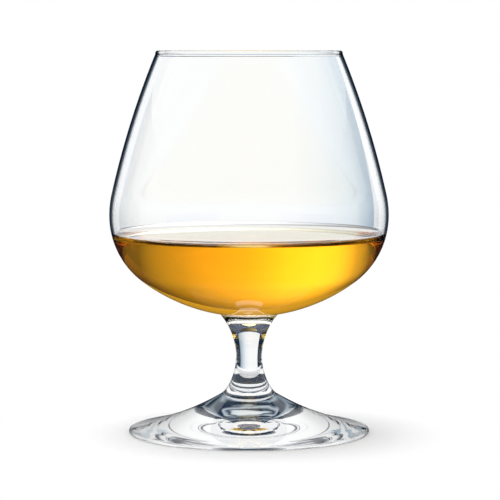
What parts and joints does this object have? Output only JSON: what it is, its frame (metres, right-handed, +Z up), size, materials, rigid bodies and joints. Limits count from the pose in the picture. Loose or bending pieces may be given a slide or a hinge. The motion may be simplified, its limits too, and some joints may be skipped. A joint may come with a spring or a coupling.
{
  "type": "brandy snifter",
  "caption": "Stemmed glass snifter: a thin blown bowl that narrows to a beaded rim, a short waisted stem and a round foot, holding a measure of amber brandy.",
  "frame": {"origin": "on the table plane, at the middle of the ring the foot stands on", "axes": "+Z up along the axis the glass was turned about, X and Y in the table plane"},
  "size_m": [0.0928, 0.0928, 0.127],
  "materials": {
    "clear_glass": "polished",
    "brandy": "gloss"
  },
  "bodies": {
    "root": {"bowl": "clear_glass", "stem": "clear_glass", "foot": "clear_glass", "brandy": "brandy"}
  },
  "joints": []
}
